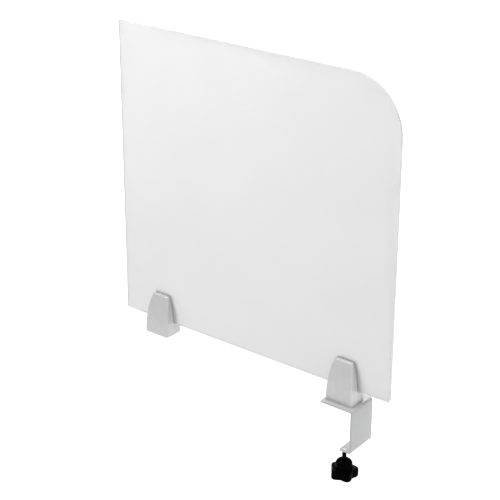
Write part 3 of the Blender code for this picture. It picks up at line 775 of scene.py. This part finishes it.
def make_bush():
    """The bush in the jaw. Its upper face is flat, so that it hardly shows in the jaw's top."""
    low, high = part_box("jaw_bush")
    outer = (high.x - low.x) / 2
    bore = SCREW_RADIUS + GAP
    loop = [(bore + PRESS_FIT, high.z), (outer, high.z), (outer, low.z + EDGE_BREAK),
            (outer - EDGE_BREAK, low.z), (bore + EDGE_BREAK, low.z), (bore, low.z + EDGE_BREAK),
            (bore, high.z - PRESS_FIT)]
    bush = ring_piece("threaded_bush", loop, COAT)
    upright_at(bush, "jaw_bush")
    stand_in(bush, FIXED, "bracket", "jaw_bush")


def add_thread(bm, bottom, top):
    """A right-hand helical ridge that runs out to nothing at both ends."""
    count = int((top - bottom) / PITCH * THREAD_STEPS)
    root = SCREW_RADIUS - THREAD_DEPTH
    half_root = (PITCH - THREAD_ROOT) / 2
    half_crest = THREAD_CREST / 2
    rows = []
    for i in range(count + 1):
        angle = 2 * math.pi * i / THREAD_STEPS
        height = bottom + PITCH * i / THREAD_STEPS
        grown = min(1.0, i / THREAD_STEPS, (count - i) / THREAD_STEPS)
        crest = root + THREAD_DEPTH * grown
        section = ((root - THREAD_DEPTH / 4, -half_root), (crest, -half_crest),
                   (crest, half_crest), (root - THREAD_DEPTH / 4, half_root))
        rows.append([(r * math.cos(angle), r * math.sin(angle), height + z) for r, z in section])
    add_loft(bm, rows)


def make_clamp_screw():
    """The M8 screw: a core, its thread, and the hexagon head that the knob is moulded round."""
    low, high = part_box("clamp_screw")
    root = SCREW_RADIUS - THREAD_DEPTH
    bm = bmesh.new()
    add_loft(bm, [circle(root, SCREW_HEAD_TOP - PAST / 2), circle(root, high.z - EDGE_BREAK),
                  circle(root - EDGE_BREAK, high.z)])
    add_thread(bm, SCREW_HEAD_TOP + PITCH, high.z - PITCH)
    across = SCREW_HEAD_FLATS / math.sqrt(3)
    head = ((across - EDGE_BREAK, low.z), (across, low.z + EDGE_BREAK),
            (across, SCREW_HEAD_TOP - EDGE_BREAK), (across - EDGE_BREAK, SCREW_HEAD_TOP))
    add_loft(bm, [circle(radius, height, HEX) for radius, height in head])
    screw = new_piece("threaded_screw", bm, BLACK)
    upright_at(screw, "jaw_bush")
    stand_in(screw, TURNING, "black_steel", "clamp_screw")


def make_screw_tip():
    """The pad on the screw's end, which stays still while the screw turns, with its stem."""
    low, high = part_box("screw_tip")
    pad_bottom = high.z - TIP_HEIGHT
    rim = EDGE_BREAK / 2
    profile = [(TIP_STEM_RADIUS, low.z), (TIP_STEM_RADIUS, pad_bottom),
               (SCREW_RADIUS - rim, pad_bottom), (SCREW_RADIUS, pad_bottom + rim),
               (SCREW_RADIUS, high.z - EDGE_BREAK), (SCREW_RADIUS - EDGE_BREAK, high.z)]
    tip = turned("thrust_pad", profile, NYLON)
    upright_at(tip, "jaw_bush")
    stand_in(tip, TIP, "tip", "screw_tip")


def star_radius(angle):
    """The star's outline: its radius swings once between lobe and valley for each lobe."""
    middle = (STAR_RADIUS + STAR_VALLEY) / 2
    swing = (STAR_RADIUS - STAR_VALLEY) / 2
    return middle + swing * math.cos(STAR_LOBES * (angle - STAR_ANGLE))


def knob_ring(height, radius_at):
    """One ring of the knob, from a function of the angle."""
    ring = []
    for i in range(STAR_STEPS):
        angle = 2 * math.pi * i / STAR_STEPS
        radius = radius_at(angle)
        ring.append((radius * math.cos(angle), radius * math.sin(angle), height))
    return ring


def make_knob():
    """The star knob: rounded lobes, a small fillet round the hub, and a domed hub."""
    low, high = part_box("knob_body")
    turns = quarter(STAR_EDGE, STAR_EDGE_STEPS)
    rings = []
    for inset, rise in reversed(turns):
        rings.append(knob_ring(low.z + STAR_EDGE - rise, lambda a: star_radius(a) - inset))
    for inset, rise in turns[:-1]:
        rings.append(knob_ring(STAR_TOP - STAR_EDGE + rise, lambda a: star_radius(a) - inset))
    foot = HUB_RADIUS + HUB_FILLET
    rings.append(knob_ring(STAR_TOP, lambda a: max(star_radius(a) - STAR_EDGE, foot)))
    for inset, rise in quarter(HUB_FILLET, FILLET_STEPS):
        radius = HUB_RADIUS + HUB_FILLET - rise
        rings.append(knob_ring(STAR_TOP + inset, lambda a: radius))
    dome_base = high.z - HUB_DOME
    for i in range(DOME_STEPS):
        angle = math.pi / 2 * i / DOME_STEPS
        radius = HUB_RADIUS * math.cos(angle)
        rings.append(knob_ring(dome_base + HUB_DOME * math.sin(angle), lambda a: radius))
    knob = loft("star_knob", rings, KNOB)
    cap_low, cap_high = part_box("knob_cap")
    seat = (cap_high.x - cap_low.x) / 2 + GAP
    bore = SCREW_RADIUS + GAP
    across = SCREW_HEAD_FLATS / math.sqrt(3) + GAP
    below = low.z - PAST
    cutters = [
        turned("bore", [(bore, SCREW_HEAD_TOP - PAST), (bore, high.z + PAST)]),
        loft("hex_pocket", [circle(across, below, HEX), circle(across, SCREW_HEAD_TOP + GAP, HEX)]),
        turned("cap_seat", [(seat, below), (seat, cap_high.z + GAP)]),
    ]
    cut(knob, cutters)
    upright_at(knob, "jaw_bush")
    stand_in(knob, TURNING, "knob", "knob_body")


def make_knob_cap():
    """The snap-in cap below the knob, with a shallow ring round its middle."""
    low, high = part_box("knob_cap")
    radius = (high.x - low.x) / 2
    groove = radius * CAP_GROOVE_SHARE
    profile = [(radius, high.z), (radius, low.z + EDGE_BREAK), (radius - EDGE_BREAK, low.z),
               (groove + EDGE_BREAK, low.z), (groove, low.z + EDGE_BREAK),
               (groove - EDGE_BREAK, low.z + EDGE_BREAK), (groove - 2 * EDGE_BREAK, low.z)]
    cap = turned("knob_snap_cap", profile, KNOB)
    upright_at(cap, "jaw_bush")
    stand_in(cap, TURNING, "knob", "knob_cap")


# Rubber

def ribbed_pad(name, node, corner):
    """A rubber pad with rounded corners, and the cutters for shallow grooves across its underside."""
    low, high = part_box(node)
    corners = ((low.x, low.y), (high.x, low.y), (high.x, high.y), (low.x, high.y))
    outline = rounded_outline(corners, (corner,) * len(corners), CLIP_CORNER_STEPS)
    pad = loft(name, [[(x, y, z) for x, y in outline] for z in (low.z, high.z)], RUBBER)
    cutters = []
    count = int((high.x - low.x) / GROOVE_SPACING) - 1
    first = (low.x + high.x) / 2 - GROOVE_SPACING * (count - 1) / 2
    for i in range(count):
        x = first + GROOVE_SPACING * i
        cutters.append(box_piece("groove", (x - GROOVE, low.y - PAST, low.z - PAST),
                                 (x + GROOVE, high.y + PAST, low.z + GROOVE)))
    return pad, cutters


def make_desk_pad():
    """The pad between the bracket and the desk."""
    pad, cutters = ribbed_pad("ribbed_desk_pad", "desk_pad", DESK_PAD_CORNER)
    cut(pad, cutters)
    stand_in(pad, FIXED, "rubber", "desk_pad")


def make_foot():
    """The pad below the foot clip, with holes for its two bolts."""
    pad, cutters = ribbed_pad("ribbed_foot", "foot_pad", FOOT_CORNER)
    low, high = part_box("foot_pad")
    cutters += [countersink(f"foot_bolt_{hand}", low.z, high.z) for hand in HANDS]
    cut(pad, cutters)
    stand_in(pad, FIXED, "rubber", "foot_pad")


def dress_inner_pieces():
    """Give the pieces inside each clip their own materials. Their shapes stay as they are."""
    looks = {"core": (CAST, "core"), "front_liner": (RUBBER, "rubber"), "back_liner": (RUBBER, "rubber"),
             "edge_rest": (RUBBER, "rubber"), "pressure_plate": (ZINC, "zinc"),
             "shell_insert_left": (BRASS, "insert"), "shell_insert_right": (BRASS, "insert")}
    for prefix in CLIPS:
        for name, (material, slot) in looks.items():
            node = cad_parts[prefix + name]
            node.data.materials.clear()
            node.data.materials.append(material)


# Stage

def make_stage():
    """A pale floor below the clamp, as the object hangs over a desk's edge."""
    bpy.ops.mesh.primitive_plane_add(size=FLOOR_SIZE, location=(0, 0, cad_bounds[0].z - FLOOR_DROP))
    floor = bpy.context.object
    floor.name = "floor"
    material, _, shader = shader_of("pale_floor", tone(0.95), roughness=0.9)
    shader.inputs["Specular IOR Level"].default_value = 0.0
    floor.data.materials.append(material)


def make_area_light(name, location, target, size, energy, spread):
    """A round lamp that points from its place to its aim."""
    light = bpy.data.lights.new(name, "AREA")
    light.shape = "DISK"
    light.size = size
    light.energy = energy
    light.spread = math.radians(spread)
    obj = bpy.data.objects.new(name, light)
    obj.location = location
    obj.rotation_euler = (Vector(target) - Vector(location)).to_track_quat("-Z", "Y").to_euler()
    bpy.context.scene.collection.objects.link(obj)


def make_light():
    """Even white surroundings and three soft lamps.

    The first lights the floor far behind, which shows through the frosted sheet. The second lights
    the upper faces and the third the right-hand ones.
    """
    world = bpy.data.worlds.new("white_studio")
    bpy.context.scene.world = world
    world.use_nodes = True
    background = world.node_tree.nodes["Background"]
    background.inputs["Color"].default_value = (1.0, 1.0, 1.0, 1.0)
    background.inputs["Strength"].default_value = SURROUNDINGS
    for lamp in LAMPS:
        make_area_light(*lamp)
    bpy.context.scene.view_settings.view_transform = "Standard"


def make_camera():
    """Above the sheet's right front, looking down along the sheet."""
    data = bpy.data.cameras.new("camera")
    data.lens = CAMERA_LENS
    data.sensor_width = CAMERA_SENSOR
    data.shift_y = CAMERA_SHIFT
    data.clip_end = CAMERA_REACH
    camera = bpy.data.objects.new("camera", data)
    rotation = Matrix((CAMERA_RIGHT, CAMERA_UP, CAMERA_BACK)).transposed().to_4x4()
    camera.matrix_world = Matrix.Translation(CAMERA_PLACE) @ rotation
    bpy.context.scene.collection.objects.link(camera)
    bpy.context.scene.camera = camera


make_camera()
make_light()
make_stage()

make_sheet()
for clip in CLIPS:
    make_front_shell(clip)
    make_back_shell(clip)
    for hand in HANDS:
        make_shell_bolt(f"{clip}shell_bolt_{hand}")
        make_grub_screw(f"{clip}grub_screw_{hand}")
for hand in HANDS:
    make_base_bolt(f"bracket_bolt_{hand}")
    make_base_bolt(f"foot_bolt_{hand}")
make_bracket()
make_bush()
make_desk_pad()
make_foot()
make_clamp_screw()
make_screw_tip()
make_knob()
make_knob_cap()
dress_inner_pieces()
